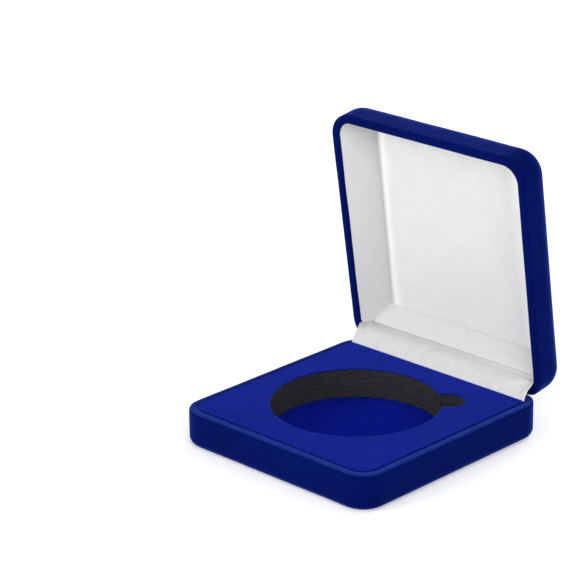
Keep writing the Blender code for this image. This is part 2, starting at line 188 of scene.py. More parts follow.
def box_cutter(low, high):
    """A box between two opposite corners, to cut with."""
    bm = bmesh.new()
    low = Vector(low)
    high = Vector(high)
    place = Matrix.Translation((low + high) / 2) @ Matrix.Diagonal((*(high - low), 1))
    bmesh.ops.create_cube(bm, size=1, matrix=place)
    mesh = bpy.data.meshes.new("cutter")
    bm.to_mesh(mesh)
    bm.free()
    cutter = bpy.data.objects.new("cutter", mesh)
    bpy.context.scene.collection.objects.link(cutter)
    return cutter


def cut(piece, cutter):
    """Subtracts the cutter from the piece with a boolean, and removes the cutter."""
    tool = piece.modifiers.new("cut", "BOOLEAN")
    tool.object = cutter
    tool.operation = "DIFFERENCE"
    bake(piece)
    bpy.data.objects.remove(cutter)


def set_attribute(piece, name, values):
    layer = piece.data.attributes.new(name, "FLOAT", "POINT")
    layer.data.foreach_set("value", np.asarray(values, np.float32))


def thicken(piece, thickness, even=True):
    """Gives a sheet thickness on its inner side; even keeps it the same at sharp turns."""
    skin = piece.modifiers.new("thickness", "SOLIDIFY")
    skin.thickness = thickness
    skin.offset = -1.0
    skin.use_even_offset = even


def wear(piece, material):
    piece.data.materials.clear()
    piece.data.materials.append(material)


def rounded_outline(half_x, half_y, corner, per_side, per_corner):
    """Points and outward normals round a rounded rectangle, starting at the middle of the front."""
    points = []
    normals = []
    centres = [
        (half_x - corner, corner - half_y, -90),
        (half_x - corner, half_y - corner, 0),
        (corner - half_x, half_y - corner, 90),
        (corner - half_x, corner - half_y, 180),
    ]
    sweeps = []
    for x, y, start in centres:
        turns = [math.radians(start + 90 * k / per_corner) for k in range(per_corner + 1)]
        sweeps.append([(x, y, angle) for angle in turns])
    for n, sweep in enumerate(sweeps):
        for x, y, angle in sweep:
            normals.append((math.cos(angle), math.sin(angle)))
            points.append((x + corner * math.cos(angle), y + corner * math.sin(angle)))
        x0, y0 = points[-1]
        x, y, angle = sweeps[(n + 1) % 4][0]
        x1 = x + corner * math.cos(angle)
        y1 = y + corner * math.sin(angle)
        for k in range(1, per_side):
            points.append((x0 + (x1 - x0) * k / per_side, y0 + (y1 - y0) * k / per_side))
            normals.append((math.cos(angle), math.sin(angle)))
    return np.array(points), np.array(normals)


# Materials

class Nodes:
    """A material's node tree, with short calls for the nodes that the looks need."""

    def __init__(self, name):
        self.material = bpy.data.materials.new(name)
        self.material.use_nodes = True
        self.tree = self.material.node_tree
        self.shader = self.tree.nodes["Principled BSDF"]

    def add(self, kind, **settings):
        node = self.tree.nodes.new("ShaderNode" + kind)
        for key, value in settings.items():
            setattr(node, key, value)
        return node

    def join(self, out, into):
        self.tree.links.new(out, into)

    def place(self):
        return self.add("TexCoord").outputs["Object"]

    def cloth_place(self):
        return self.add("UVMap", uv_map="cloth").outputs["UV"]

    def stretch(self, vector, scale=(1, 1, 1), turn=(0, 0, 0)):
        node = self.add("Mapping")
        node.inputs["Scale"].default_value = scale
        node.inputs["Rotation"].default_value = turn
        self.join(vector, node.inputs["Vector"])
        return node.outputs["Vector"]

    def noise(self, vector, size, detail=3.0, roughness=0.55):
        """Noise with bumps of a size in metres."""
        node = self.add("TexNoise")
        node.inputs["Scale"].default_value = 1 / size
        node.inputs["Detail"].default_value = detail
        node.inputs["Roughness"].default_value = roughness
        self.join(vector, node.inputs["Vector"])
        return node.outputs["Fac"]

    def waves(self, vector, pitch, distortion=0.0, detail_size=0.0):
        """Sine bands across X with a pitch in metres."""
        node = self.add("TexWave", wave_type="BANDS", bands_direction="X", wave_profile="SIN")
        node.inputs["Scale"].default_value = 2 * math.pi / 20 / pitch
        node.inputs["Distortion"].default_value = distortion
        if detail_size:
            node.inputs["Detail Scale"].default_value = pitch / detail_size
        self.join(vector, node.inputs["Vector"])
        return node.outputs["Fac"]

    def number(self, value, low, high, from_low=0.0, from_high=1.0):
        node = self.add("MapRange")
        for key, amount in (
            ("From Min", from_low),
            ("From Max", from_high),
            ("To Min", low),
            ("To Max", high),
        ):
            node.inputs[key].default_value = amount
        self.join(value, node.inputs["Value"])
        return node.outputs["Result"]

    def maths(self, operation, a, b):
        node = self.add("Math", operation=operation)
        for socket, value in zip(node.inputs, (a, b)):
            if isinstance(value, (int, float)):
                socket.default_value = value
            else:
                self.join(value, socket)
        return node.outputs[0]

    def mix(self, factor, a, b):
        node = self.add("Mix", data_type="RGBA")
        for socket, value in ((node.inputs[0], factor), (node.inputs[6], a), (node.inputs[7], b)):
            if isinstance(value, (int, float)):
                socket.default_value = value
            elif isinstance(value, tuple):
                socket.default_value = (*value, 1)
            else:
                self.join(value, socket)
        return node.outputs[2]

    def attribute(self, name):
        return self.add("Attribute", attribute_name=name).outputs["Fac"]

    def bump(self, height, distance, strength=1.0, under=None):
        node = self.add("Bump")
        node.inputs["Distance"].default_value = distance
        node.inputs["Strength"].default_value = strength
        self.join(height, node.inputs["Height"])
        if under is not None:
            self.join(under, node.inputs["Normal"])
        return node.outputs["Normal"]

    def set(self, **values):
        for key, value in values.items():
            socket = self.shader.inputs[key.replace("_", " ")]
            if isinstance(value, (int, float, tuple)):
                socket.default_value = value
            else:
                self.join(value, socket)
        return self.material


def velour(name, dark, light, wear_and_light_colour, sheen, sheen_tint):
    """Flocked velour: a fine upright pile, brushed in soft patches, lighter where it turns over an
    edge, partly as pile worn on the edge and partly as a painted highlight. Its colour comes from
    its fibres' sides, which catch light best at a low angle."""
    n = Nodes(name)
    place = n.place()
    grain = n.noise(place, 0.4 * MM, 3.0, 0.65)
    clump = n.noise(place, 1.5 * MM, 3.0, 0.6)
    brushed = n.noise(n.stretch(place, (1.0, 0.5, 0.7), (0, 0, 0.5)), 18 * MM, 3.0, 0.55)
    shade = n.maths("MULTIPLY", n.number(grain, 0.0, 2.0, 0.3, 0.7), n.number(clump, 0.65, 1.35))
    shade = n.maths("MULTIPLY", shade, n.number(brushed, 0.8, 1.2, 0.3, 0.7))
    scuff = n.number(n.noise(place, 2.5 * MM, 4.0, 0.65), 0.55, 1.0, 0.35, 0.7)
    # lighter toward the worn colour: pile worn on edges, and on the base's rim also a painted
    # highlight
    wear_and_light = n.maths("MULTIPLY", n.attribute("wear_and_light"), scuff)
    pile_colour = n.mix(n.number(shade, 0.0, 1.0, 0.2, 2.0), dark, light)
    pile = n.bump(grain, 0.15 * MM, 0.6)
    pile = n.bump(clump, 0.2 * MM, 0.35, pile)
    return n.set(
        Base_Color=n.mix(wear_and_light, pile_colour, wear_and_light_colour),
        Roughness=1.0,
        Specular_IOR_Level=0.0,
        Sheen_Weight=sheen,
        Sheen_Roughness=0.35,
        Sheen_Tint=(*sheen_tint, 1),
        Normal=pile,
    )


def satin(name, colour, shadow, painted_shading, highlight_colour, twill_weight):
    """Satin: a fine diagonal twill, uneven yarns and soft cloudiness. Its creases are greyed with
    painted shade, and a painted highlight lightens it where it is pulled tight."""
    n = Nodes(name)
    cloth = n.cloth_place()
    drift = n.noise(cloth, 6 * MM, 2.0, 0.5)
    twill = n.waves(n.stretch(cloth, turn=(0, 0, math.radians(-40))), 0.74 * MM, 1.2, 3 * MM)
    yarn = n.noise(n.stretch(cloth, (1, 0.15, 1)), 0.45 * MM, 3.0, 0.6)
    pick = n.noise(n.stretch(cloth, (0.15, 1, 1)), 0.5 * MM, 3.0, 0.6)
    cloud = n.noise(cloth, 11 * MM, 2.0, 0.5)
    weave = n.maths("MULTIPLY", twill, n.number(drift, 0.4 * twill_weight, twill_weight, 0.3, 0.7))
    weave = n.maths("ADD", weave, n.maths("MULTIPLY", yarn, 0.45))
    weave = n.maths("ADD", weave, n.maths("MULTIPLY", pick, 0.35))
    tone = n.maths("ADD", weave, n.number(cloud, -0.2, 0.2))
    base = n.mix(n.number(tone, 0.0, 1.0, 0.2, 1.1), shadow, colour)
    # painted shade: greys the satin toward a mid grey by each point's painted shade amount
    shade_mask = n.maths("MULTIPLY", n.attribute("painted_shade"), n.number(cloud, 0.8, 1.1, 0.3, 0.7))
    base = n.mix(shade_mask, base, painted_shading)
    # painted highlight: lightens the satin toward near white by each point's highlight amount
    base = n.mix(n.attribute("painted_highlight"), base, highlight_colour)
    relief = n.bump(weave, 0.035 * MM, 0.6)
    return n.set(
        Base_Color=base,
        Roughness=n.number(weave, 0.52, 0.4, 0.2, 1.0),
        Specular_IOR_Level=0.4,
        Sheen_Weight=0.1,
        Sheen_Roughness=0.4,
        Anisotropic=0.3,
        Normal=relief,
    )


def foam(name, dark, light):
    """Die-cut closed-cell foam: matt, with torn cells and faint knife marks round the cut."""
    n = Nodes(name)
    place = n.place()
    cells = n.add("TexVoronoi", feature="F1")
    cells.inputs["Scale"].default_value = 1 / (0.55 * MM)
    n.join(place, cells.inputs["Vector"])
    grit = n.noise(place, 0.3 * MM, 4.0, 0.65)
    marks = n.noise(n.stretch(place, (0.12, 0.12, 1)), 0.45 * MM, 3.0, 0.6)
    height = n.maths("ADD", n.maths("MULTIPLY", cells.outputs["Distance"], 0.5), grit)
    height = n.maths("ADD", height, marks)
    colour = n.mix(n.number(height, 0.0, 1.0, 0.7, 1.7), dark, light)
    relief = n.bump(height, 0.25 * MM, 0.7)
    return n.set(
        Base_Color=colour, Roughness=0.92, Specular_IOR_Level=0.25, Normal=relief
    )


def plastic(name, dark, light):
    """Moulded plastic with a fine spark-eroded texture."""
    n = Nodes(name)
    place = n.place()
    texture = n.noise(place, 0.4 * MM, 4.0, 0.6)
    flow = n.noise(place, 20 * MM, 2.0, 0.5)
    return n.set(
        Base_Color=n.mix(n.number(flow, 0.2, 0.8), dark, light),
        Roughness=n.number(texture, 0.42, 0.6),
        Normal=n.bump(texture, 0.05 * MM, 0.5),
    )


def card(name, dark, light):
    """Grey board with pressed fibres."""
    n = Nodes(name)
    place = n.place()
    fibre = n.noise(n.stretch(place, (1, 0.25, 1)), 0.6 * MM, 5.0, 0.7)
    return n.set(
        Base_Color=n.mix(fibre, dark, light),
        Roughness=0.9,
        Normal=n.bump(fibre, 0.05 * MM, 0.6),
    )


def steel(name, dark, light):
    """Plated sheet steel with rolling marks along the hinge."""
    n = Nodes(name)
    place = n.place()
    rolled = n.noise(n.stretch(place, (0.05, 1, 1)), 0.15 * MM, 3.0, 0.6)
    stain = n.noise(place, 4 * MM, 3.0, 0.6)
    return n.set(
        Base_Color=n.mix(stain, dark, light),
        Metallic=1.0,
        Roughness=n.number(rolled, 0.22, 0.42),
        Normal=n.bump(rolled, 0.01 * MM, 0.5),
    )


cover_velour = velour(
    "cover_velour",
    dark=(0.0004, 0.0022, 0.034),
    light=(0.0014, 0.0072, 0.119),
    wear_and_light_colour=(0.0140, 0.0310, 0.225),
    sheen=0.7,
    sheen_tint=(0.08, 0.14, 0.72),
)
insert_velour = velour(
    "insert_velour",
    dark=(0.0008, 0.0045, 0.085),
    light=(0.0040, 0.0130, 0.260),
    wear_and_light_colour=(0.0110, 0.0240, 0.300),
    sheen=1.0,
    sheen_tint=(0.06, 0.10, 0.8),
)
floor_velour = velour(
    "floor_velour",
    dark=(0.0008, 0.0040, 0.130),
    light=(0.0030, 0.0100, 0.290),
    wear_and_light_colour=(0.0110, 0.0240, 0.300),
    sheen=0.5,
    sheen_tint=(0.04, 0.07, 0.8),
)
# The grey that painted shade mixes into the satin, and the white of its painted highlight.
SHADE_GREY = (0.38, 0.38, 0.375)
HIGHLIGHT_WHITE = (0.93, 0.93, 0.92)
white_satin = satin("white_satin", (0.72, 0.72, 0.71), (0.575, 0.575, 0.565), SHADE_GREY, HIGHLIGHT_WHITE, 0.4)
ribbon_satin = satin("ribbon_satin", (0.70, 0.70, 0.69), (0.59, 0.59, 0.58), SHADE_GREY, HIGHLIGHT_WHITE, 0.08)
black_foam = foam("black_foam", (0.005, 0.005, 0.007), (0.032, 0.032, 0.040))
black_plastic = plastic("black_plastic", (0.012, 0.012, 0.014), (0.03, 0.03, 0.033))
grey_card = card("grey_card", (0.30, 0.29, 0.26), (0.52, 0.50, 0.46))
plated_steel = steel("plated_steel", (0.48, 0.48, 0.50), (0.72, 0.72, 0.74))


# Cloth simulation

def simulate(piece, held, pressure, spare, cap):
    """Runs a cloth simulation on an open sheet. The points in held stay; the rest, with a share of
    spare cloth and pressure from behind, bulge and buckle by at most cap. It is worked out at a
    larger scale, where the solver is stable."""
    scale = 20
    frames = 18
    mesh = piece.data
    rest = np.array([v.co for v in mesh.vertices])
    mesh.transform(Matrix.Scale(scale, 4))
    group = piece.vertex_groups.new(name="held")
    group.add([int(k) for k in held], 1.0, "REPLACE")
    cloth = piece.modifiers.new("cloth", "CLOTH")
    settings = cloth.settings
    settings.quality = 6
    settings.mass = 0.3
    settings.tension_stiffness = 30
    settings.compression_stiffness = 30
    settings.shear_stiffness = 15
    settings.bending_stiffness = 0.6
    settings.vertex_group_mass = group.name
    settings.shrink_min = -spare
    settings.use_pressure = True
    settings.uniform_pressure_force = pressure
    settings.effector_weights.gravity = 0
    cloth.collision_settings.use_collision = False
    cloth.point_cache.frame_start = 1
    cloth.point_cache.frame_end = frames
    for frame_number in range(1, frames + 1):
        bpy.context.scene.frame_set(frame_number)
    graph = bpy.context.evaluated_depsgraph_get()
    settled = piece.evaluated_get(graph).data
    moved = np.array([v.co for v in settled.vertices]) / scale - rest
    length = np.linalg.norm(moved, axis=1)[:, None]
    moved *= cap * np.tanh(length / cap) / np.maximum(length, 1e-12)
    piece.modifiers.remove(cloth)
    piece.vertex_groups.clear()
    bpy.context.scene.frame_set(1)
    mesh.vertices.foreach_set("co", (rest + moved).astype(np.float32).ravel())
    mesh.update()


# Velour covers

def arc(centre_d, centre_z, radius, start, end, steps):
    """Profile points on an arc, as distances in from the outer face and heights."""
    points = []
    for k in range(steps + 1):
        angle = math.radians(start + (end - start) * k / steps)
        points.append((centre_d - radius * math.cos(angle), centre_z + radius * math.sin(angle)))
    return points


def run(start, end, steps):
    """Points between two profile points, without the first."""
    return [tuple(np.add(start, np.subtract(end, start) * k / steps)) for k in range(1, steps + 1)]


def cover_profile(height, edge):
    """The cover's section from its flat side, up the wall, over the rim and down inside."""
    side_top = height - RIM_ROUND
    profile = arc(edge, edge, edge, -90, 0, 14)
    profile += run((0, edge), (0, side_top), 10)
    profile += arc(RIM_ROUND, side_top, RIM_ROUND, 0, 90, 7)[1:]
    profile += run((RIM_ROUND, height), (WALL - RIM_ROUND, height), 3)
    profile += arc(WALL - RIM_ROUND, side_top, RIM_ROUND, 90, 180, 7)[1:]
    profile += run((WALL, side_top), (WALL, height - COVER_FOLD), 6)
    return profile


def make_cover(name, height, edge, axis_height, seed, rim_wear_and_light):
    """A tub of velour that stands on z 0. Its rear rim is bevelled from axis_height, where base and
    lid stop each other. Its rim top is lightened by the amount given, partly as worn pile and
    partly as a painted highlight, with painted shade keeping it darker on the side that faces left.
    The cut for the hinge opens the base's cover only. It doesn't take on the lid's, which still
    runs through the hinge's barrel."""
    points, normals = rounded_outline(HALF_X, HALF_Y, CORNER, 44, 18)
    # painted shade: the rim's lighter band is cut to 0.3 on the side that faces left
    painted_left_shade = 0.3 + 0.7 * np.clip((1 + normals[:, 0]) / 0.4, 0, 1)
    rows = []
    wear_and_light = []
    for share in np.linspace(0.03, 1.0, 24)[:-1]:
        ring = (points - normals * edge) * share
        rows.append(np.column_stack([ring, np.zeros(len(ring))]))
        wear_and_light += [0.0] * len(ring)
    for d, z in cover_profile(height, edge):
        ring = points - normals * d
        behind = ring[:, 1] - AXIS.y
        ramp = np.clip(1 + behind / STOP_RAMP, 0, 1)
        stop = axis_height - math.tan(OPEN_ANGLE / 2) * np.maximum(behind, 0) - STOP_GAP
        top = height - ramp * np.maximum(height - stop, 0)
        share = max(0.0, z - edge) / (height - edge)
        rows.append(np.column_stack([ring, z - share * (height - top)]))
        # lighter band on the rim's top: worn pile, and a painted highlight where the top faces up
        on_rim = rim_wear_and_light * max(0.0, 1 - 2 * (height - z) / RIM_ROUND) * painted_left_shade
        wear_and_light += on_rim.tolist()
    made = lattice(name, rows, wrap_columns=True)
    set_attribute(made, "wear_and_light", wear_and_light)
    finish_mesh(made, cap=True, outward=(0, 0, -1), cap_below=height / 4)
    soften(made, seed)
    thicken(made, COVER)
    bake(made)
    x, y_low, y_high = HINGE_ROOM
    past_rim = 1
    cut(made, box_cutter((-x, y_low, height - HINGE_ROOM_DEPTH), (x, y_high, past_rim)))
    return made


def soften(piece, seed, size=14 * MM, amount=0.06 * MM):
    """Moves the points in and out by a slow wobble and a quicker, smaller one."""
    mesh = piece.data
    count = len(mesh.vertices)
    where = np.zeros(count * 3, np.float32)
    mesh.vertices.foreach_get("co", where)
    where = where.reshape(-1, 3)
    out = np.array([v.normal for v in mesh.vertices])
    shift = [wobble(p, size, seed) + 0.4 * wobble(p, size / 5, seed + 9) for p in where]
    where += out * np.array(shift)[:, None] * amount
    mesh.vertices.foreach_set("co", where.astype(np.float32).ravel())
    mesh.update()


def place_on_lid(piece, flip=False):
    """Opens a piece that is built in the closed case; flip turns over one that stands on z 0."""
    if flip:
        mirror = Matrix.Translation((0, 0, LID_RIM + LID_HEIGHT)) @ Matrix.Diagonal((1, 1, -1, 1))
        piece.data.transform(mirror)
        piece.data.flip_normals()
    piece.matrix_world = LID_OPEN
    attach(piece, "lid")


def declare_cover(slot):
    """Hides the CAD cover that the velour cover replaces."""
    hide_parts(slot + "_velour_cover")


def make_base_cover():
    base = make_cover("base_cover", BASE_HEIGHT, BASE_ROUND, AXIS.z, 3.0, 1.0)
    wear(base, cover_velour)
    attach(base, "base")
    declare_cover("base")


def make_lid_cover():
    axis_height = LID_RIM + LID_HEIGHT - AXIS.z
    lid = make_cover("lid_cover", LID_HEIGHT, LID_ROUND, axis_height, 7.0, 0.0)
    wear(lid, cover_velour)
    place_on_lid(lid, flip=True)
    declare_cover("lid")


# Insert

def hole_outline(coin_steps, notch_steps):
    """Points round the coin's hole and its thumb notch, anticlockwise, and their outward ways."""
    half = math.asin(NOTCH_RADIUS / NOTCH_REACH)
    tangent = NOTCH_REACH * math.cos(half)
    bearing = Vector((math.cos(NOTCH_BEARING), math.sin(NOTCH_BEARING), 0))
    notch = COIN_CENTRE + bearing * NOTCH_REACH
    points = []
    ways = []

    def add(centre, angle, radius, turn=0.0):
        points.append(centre + Vector((math.cos(angle), math.sin(angle), 0)) * radius)
        ways.append(Vector((math.cos(angle + turn), math.sin(angle + turn), 0)))

    for k in range(coin_steps + 1):
        angle = NOTCH_BEARING + half + 2 * (math.pi - half) * k / coin_steps
        add(COIN_CENTRE, angle, COIN_RADIUS)
    flank_steps = 5
    for k in range(1, flank_steps):
        radius = COIN_RADIUS + (tangent - COIN_RADIUS) * k / flank_steps
        add(COIN_CENTRE, NOTCH_BEARING - half, radius, -math.pi / 2)
    rise = math.pi / 2 + half
    for k in range(notch_steps + 1):
        add(notch, NOTCH_BEARING - rise + 2 * rise * k / notch_steps, NOTCH_RADIUS)
    for k in range(1, flank_steps):
        radius = tangent + (COIN_RADIUS - tangent) * k / flank_steps
        add(COIN_CENTRE, NOTCH_BEARING + half, radius, math.pi / 2)
    return np.array(points)[:, :2], np.array(ways)[:, :2]


def smooth_ways(ways, rounds=3):
    """Outward ways averaged with their neighbours, so that a sharp corner fans out."""
    for _ in range(rounds):
        ways = ways + np.roll(ways, 1, 0) + np.roll(ways, -1, 0)
        ways /= np.linalg.norm(ways, axis=1)[:, None]
    return ways


def well_distance(points):
    """How far points are outside the insert's outline."""
    corner = CORNER - (HALF_X - WELL_X)
    q = np.abs(points) - (WELL_X - corner, -WELL_FRONT - corner)
    away = np.linalg.norm(np.maximum(q, 0), axis=1) + np.minimum(q.max(1), 0) - corner
    return np.maximum(away, points[:, 1] - WELL_REAR)


def well_outline(hole):
    """A point on the insert's outline for each point of the hole, straight out from the coin."""
    smoothings = 30
    halvings = 40
    centre = np.array(COIN_CENTRE)[:2]
    angles = np.arctan2(*(hole - centre).T[::-1])
    angles = np.maximum.accumulate(np.unwrap(angles))
    whole = np.concatenate([angles - 2 * math.pi, angles, angles + 2 * math.pi])
    for _ in range(smoothings):
        whole[1:-1] = (whole[:-2] + whole[1:-1] + whole[2:]) / 3
    angles = whole[len(angles) : 2 * len(angles)]
    ways = np.column_stack([np.cos(angles), np.sin(angles)])
    near = np.full(len(hole), COIN_RADIUS / 2)
    far = np.full(len(hole), 2 * HALF_Y)
    for _ in range(halvings):
        middle = (near + far) / 2
        outside = well_distance(centre + ways * middle[:, None]) > 0
        far = np.where(outside, middle, far)
        near = np.where(outside, near, middle)
    points = centre + ways * near[:, None]
    along = np.roll(points, -1, 0) - np.roll(points, 1, 0)
    out = np.column_stack([along[:, 1], -along[:, 0]])
    length = np.linalg.norm(out, axis=1)[:, None]
    out = np.where(length > 0, out / np.maximum(length, 1e-9), ways)
    return points, out


def level(points, z):
    return np.column_stack([points, np.full(len(points), z)])


def make_insert_face():
    """The velour-flocked top of the insert, with soft edges round the hole and the outline."""
    low = face_low.z - 0.2 * MM
    high = face_high.z
    edge = 0.3 * MM
    turn = 0.12 * MM
    skirt = 1.5 * MM
    edge_steps = 6
    hole, ways = hole_outline(560, 90)
    ways = smooth_ways(ways)
    outline, out = well_outline(hole)
    outline = outline + out * turn
    rows = [level(hole, low)]
    wear_and_light = [0.0]
    for k in range(edge_steps + 1):
        angle = math.pi / 2 * k / edge_steps
        inset = edge * (1 - math.cos(angle))
        rows.append(level(hole + ways * inset, high - edge + edge * math.sin(angle)))
        wear_and_light.append(0.8 * math.sin(2 * angle) + 0.2)
    inner = hole + ways * edge
    outer = outline - out * edge
    for share in np.linspace(0, 1, 40)[1:-1]:
        rows.append(level(inner + (outer - inner) * share, high))
        wear_and_light.append(0.0)
    for k in range(edge_steps + 1):
        angle = math.pi / 2 * (1 - k / edge_steps)
        inset = edge * (1 - math.cos(angle))
        rows.append(level(outline - out * inset, high - edge + edge * math.sin(angle)))
        wear_and_light.append(0.5 * math.sin(2 * angle))
    rows.append(level(outline, low - skirt))
    rows.append(level(outline - out * turn * 0.6, low - skirt))
    rows.append(level(outline - out * turn * 2, low))
    wear_and_light += [0.0, 0.0, 0.0]
    made = lattice("insert_face", rows, wrap_columns=True, wrap_rows=True)
    set_attribute(made, "wear_and_light", np.repeat(wear_and_light, len(hole)))
    finish_mesh(made)
    soften(made, 5.0, 11 * MM, 0.05 * MM)
    wear(made, insert_velour)
    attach(made, "base")
    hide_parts("insert_velour_top")


def make_insert_foam():
    """The foam block, whose die-cut wall is torn into fine level ridges."""
    low = foam_low.z
    high = foam_high.z
    hole, ways = hole_outline(900, 140)
    outline, _ = well_outline(hole)
    rows = []
    for z in np.linspace(low, high, 56):
        ring = []
        for (x, y), (wx, wy) in zip(hole, ways):
            tear = wobble((x, y, z * 6), 4.5 * MM, 2.0)
            ridge = wobble((x, y, z * 4), 1.3 * MM, 8.0)
            cells = wobble((x, y, z), 0.5 * MM, 4.0)
            depth = (0.16 * tear + 0.14 * ridge + 0.08 * cells) * MM + 0.1 * MM
            ring.append((x + wx * depth, y + wy * depth, z))
        rows.append(ring)
    rows += [level(hole + (outline - hole) * share, high) for share in (0.3, 0.65)]
    rows += [level(outline, z) for z in np.linspace(high, low, 4)]
    rows += [level(hole + (outline - hole) * share, low) for share in (0.65, 0.3)]
    made = lattice("insert_foam_block", rows, wrap_columns=True, wrap_rows=True)
    finish_mesh(made)
    wear(made, black_foam)
    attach(made, "base")
    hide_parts("insert_foam")


def make_insert_floor():
    """The velour-covered board under the foam; the coin's recess shows the middle of it."""
    centre = np.array(COIN_CENTRE)[:2]
    circle = np.linspace(0, 2 * math.pi, 361)[:-1]
    ring = centre + COIN_RADIUS * np.column_stack([np.cos(circle), np.sin(circle)])
    outline, _ = well_outline(ring)
    high = floor_high.z
    rows = [level(centre + (outline - centre) * s, high) for s in np.linspace(0.01, 1, 70)]
    rows += [level(outline, z) for z in np.linspace(high, floor_low.z, 4)[1:]]
    rows += [level(centre + (outline - centre) * s, floor_low.z) for s in (0.6, 0.2, 0.01)]
    made = lattice("recess_floor_velour", rows, wrap_columns=True)
    set_attribute(made, "wear_and_light", np.zeros(len(made.data.vertices)))
    finish_mesh(made, cap=True)
    soften(made, 11.0, 16 * MM, 0.05 * MM)
    wear(made, floor_velour)
    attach(made, "base")
    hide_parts("recess_floor")


# Lid lining

def lid_point(x, y, depth):
    """A point inside the closed lid, depth being how far it is above the lid's rim."""
    return (x, y, LID_RIM + depth)


def shoulder_highlight(side, crest=0.6):
    """How strong the painted highlight is over the pad's shoulder, where the satin is drawn tight,
    from 0 on the flat to 0 at the edge.
    """
    beyond = np.clip((side - crest) / (1 - crest), 0, 1)
    return np.where(side < crest, (side / crest) ** 1.5, np.cos(math.pi / 2 * beyond) ** 2)


def make_pad():
    """The satin panel in the lid: foam under cloth that is pulled round the edges of a card."""
    count = 110
    u = np.linspace(-1, 1, count)
    v = np.linspace(0, 1, count)
    u = np.sign(u) * (1 - (1 - np.abs(u)) ** 1.5)
    rows = []
    cloth = []
    painted_shade = []
    painted_highlight = []
    for b in v:
        share = 0.5 - 0.5 * math.cos(math.pi * b)
        y = CREASE_Y_FRONT + (CREASE_Y_REAR - CREASE_Y_FRONT) * share
        half = CREASE_X_FRONT + (CREASE_X_REAR - CREASE_X_FRONT) * share + 0.3 * MM
        x = u * half
        side = np.clip(1 - (half - np.abs(x)) / PAD_EDGE, 0, 1)
        rise = PAD_CROWN * (1 - (2 * share - 1) ** 4)
        depth = PAD_DEPTH - PAD_PROUD - rise + (rise + PAD_FALL) * side**2
        rows.append([lid_point(px, y, d) for px, d in zip(x, depth)])
        cloth.append([(px, y) for px in x])
        # painted shade greys the pad toward its crease; a painted highlight lightens its shoulder,
        # and lightens it more toward the rear
        painted_shade += (0.45 * side**5).tolist()
        painted_highlight += (0.7 * shoulder_highlight(side) + 0.3 * share**2).tolist()
    made = lattice("lid_pad_satin", rows, cloth=cloth)
    set_attribute(made, "painted_shade", painted_shade)
    set_attribute(made, "painted_highlight", painted_highlight)
    finish_mesh(made, outward=(0, 0, -1))
    edge = [k for k in range(count**2) if min(k % count, k // count) == 0]
    edge += [k for k in range(count**2) if max(k % count, k // count) == count - 1]
    simulate(made, edge, 1.5, 0.003, 0.3 * MM)
    soften(made, 21.0, 9 * MM, 0.03 * MM)
    thicken(made, 0.35 * MM)
    bake(made)
    wear(made, white_satin)
    place_on_lid(made)
    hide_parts("lid_pad")


def make_strip(name, rim, crease, node, seed, ruffle=0.12 * MM, painted_shading=(0.07, 0.3, 0.3)):
    """A satin-wrapped card strip between two lines, slightly crowned, with rolled long edges.
    It is greyed with painted shade by the first of its three shading amounts all over, by the
    second toward the crease, and by the third toward the end where its lines start."""
    rim = np.asarray(rim, float)
    crease = np.asarray(crease, float)
    rows = []
    cloth = []
    middle = (rim.mean(0) + crease.mean(0)) / 2
    lid_middle = np.array(lid_point(0, 0, 0))
    span = crease - rim
    widths = np.linalg.norm(span, axis=1)
    along = np.gradient(rim, axis=0)
    out = np.cross(span, along)
    out /= np.linalg.norm(out, axis=1)[:, None]
    if np.dot(out[len(out) // 2], lid_middle - middle) < 0:
        out = -out
    travel = np.concatenate([[0], np.cumsum(np.linalg.norm(np.diff(rim, axis=0), axis=1))])
    for k in range(STRIP_STEPS + 1):
        t = k / STRIP_STEPS
        crown = 0.3 * MM * (1 - (2 * t - 1) ** 4) - 0.15 * MM
        row = []
        for n in range(len(rim)):
            point = rim[n] + span[n] * t
            pucker = wobble((travel[n], 0, seed), 3.2 * MM, seed) * ruffle * t**3
            row.append(point + out[n] * (crown + pucker))
        rows.append(row)
        cloth.append(np.column_stack([widths * t, travel]))
    made = lattice(name, rows, cloth=cloth)
    inward = np.linspace(0, 1, STRIP_STEPS + 1)[:, None]
    # painted shade: a flat grey over the strip, more toward the crease and toward the start of its
    # lines
    painted_grey = painted_shading[0] + painted_shading[1] * inward**2 + painted_shading[2] * np.exp(-travel / (22 * MM))[None, :]
    set_attribute(made, "painted_shade", painted_grey.ravel())
    finish_mesh(made, outward=tuple(lid_middle - middle))
    soften(made, seed, 7 * MM, 0.05 * MM)
    thicken(made, 0.5 * MM)
    bake(made)
    made.data.set_sharp_from_angle(angle=math.radians(50))
    wear(made, white_satin)
    place_on_lid(made)
    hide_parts(node)


def between(a, b, count):
    """Evenly spaced points from a to b."""
    t = np.linspace(0, 1, count)[:, None]
    return np.asarray(a) * (1 - t) + np.asarray(b) * t


def front_corner(end, count):
    """Places round the lid's inner front right corner, from the mitre to the bearing end."""
    corner = CORNER - WALL
    turn = np.radians(np.linspace(MITRE, end, count))
    x = HALF_X - WALL - corner + corner * np.cos(turn)
    y = -(HALF_Y - WALL - corner + corner * np.sin(turn))
    return zip(x, y)


def crease_point(x, y):
    """A point behind the pad's edge, where a strip ends."""
    return np.array(lid_point(x, y, PAD_DEPTH + STRIP_TUCK))


